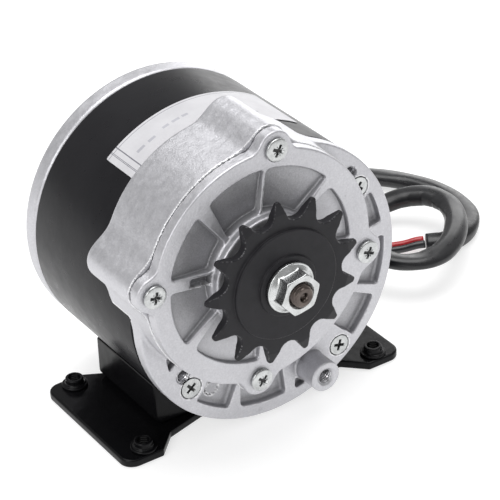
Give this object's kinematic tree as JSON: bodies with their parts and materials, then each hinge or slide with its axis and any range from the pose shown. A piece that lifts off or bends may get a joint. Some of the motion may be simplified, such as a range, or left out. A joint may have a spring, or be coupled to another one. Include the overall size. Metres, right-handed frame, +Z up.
{
  "type": "electric gear motor",
  "caption": "Brushed DC gear motor: black steel can on a foot plate, cast end bell with ribbed gear case, chain sprocket on the output shaft and a sleeved lead.",
  "frame": {"origin": "centre of the foot plate on its underside, under the motor axis", "axes": "+Z up from the foot plate; +Y along the motor axis towards the rear end cap, so the sprocket faces -Y; +X to the cable side"},
  "size_m": [0.2045, 0.1725, 0.1198],
  "materials": {
    "can_paint": "gloss black paint",
    "cast_aluminium": "as cast, fine grain",
    "zinc_steel": "bright zinc plate",
    "bracket_paint": "gloss black paint",
    "ferrite": "matt sintered",
    "brass_sheet": "sheet brass",
    "carbon": "carbon-graphite",
    "spring_steel": "spring wire",
    "label_film": "white film with thin border",
    "bright_steel": "ground steel",
    "dark_shaft_steel": "oiled dark steel",
    "black_oxide": "satin black",
    "core_steel": "laminated steel",
    "copper_wire": "enamelled copper",
    "copper_bars": "bare copper",
    "phenolic": "phenolic board",
    "rubber_black": "matt rubber",
    "sleeve_black": "soft gloss sleeve",
    "lead_red": "insulated wire",
    "lead_black": "insulated wire",
    "nylon_white": "moulded nylon"
  },
  "bodies": {
    "housing": {"motor_can": "can_paint", "rear_end_cap": "cast_aluminium", "front_end_bell": "cast_aluminium", "gear_cover": "cast_aluminium", "cover_screw_1": "zinc_steel", "cover_screw_2": "zinc_steel", "cover_screw_3": "zinc_steel", "cover_screw_4": "zinc_steel", "through_bolt_1": "zinc_steel", "through_bolt_2": "zinc_steel", "through_bolt_3": "zinc_steel", "through_bolt_4": "zinc_steel", "base_plate": "bracket_paint", "saddle_web_left": "bracket_paint", "saddle_web_right": "bracket_paint", "clinch_nut_1": "bracket_paint", "clinch_nut_2": "bracket_paint", "clinch_nut_3": "bracket_paint", "clinch_nut_4": "bracket_paint", "rating_label": "label_film", "output_bearing_front": "bright_steel", "output_bearing_rear": "bright_steel", "intermediate_pin": "bright_steel", "armature_bearing_front": "bright_steel", "armature_bearing_rear": "bright_steel", "magnet_1": "ferrite", "magnet_2": "ferrite", "magnet_3": "ferrite", "magnet_4": "ferrite", "brush_plate": "phenolic", "brush_holder_1": "brass_sheet", "brush_holder_2": "brass_sheet", "brush_holder_3": "brass_sheet", "brush_holder_4": "brass_sheet", "brush_1": "carbon", "brush_2": "carbon", "brush_3": "carbon", "brush_4": "carbon", "brush_spring_1": "spring_steel", "brush_spring_2": "spring_steel", "brush_spring_3": "spring_steel", "brush_spring_4": "spring_steel", "cable_grommet": "rubber_black", "cable_sleeve": "sleeve_black", "lead_red": "lead_red", "lead_black": "lead_black", "connector": "nylon_white"},
    "armature": {"armature_shaft": "bright_steel", "armature_core": "core_steel", "armature_windings": "copper_wire", "commutator": "copper_bars"},
    "intermediate": {"intermediate_gear": "bright_steel"},
    "output": {"output_shaft": "dark_shaft_steel", "output_gear": "bright_steel", "sprocket": "black_oxide", "flange_nut": "zinc_steel"}
  },
  "joints": [
    {"name": "armature_spin", "type": "hinge", "parent": "housing", "child": "armature", "pos_m": [0, 0, 0.0543], "axis": [0, 1, 0], "continuous": true},
    {"name": "intermediate_spin", "type": "hinge", "parent": "housing", "child": "intermediate", "pos_m": [0.0111, 0, 0.06916], "axis": [0, 1, 0], "continuous": true},
    {"name": "output_spin", "type": "hinge", "parent": "housing", "child": "output", "pos_m": [-0.0113, 0, 0.0713], "axis": [0, 1, 0], "continuous": true}
  ],
  "couplings": [
    {"joint": "intermediate_spin", "follows": "armature_spin", "ratio": -0.20455},
    {"joint": "output_spin", "follows": "armature_spin", "ratio": 0.10227}
  ]
}
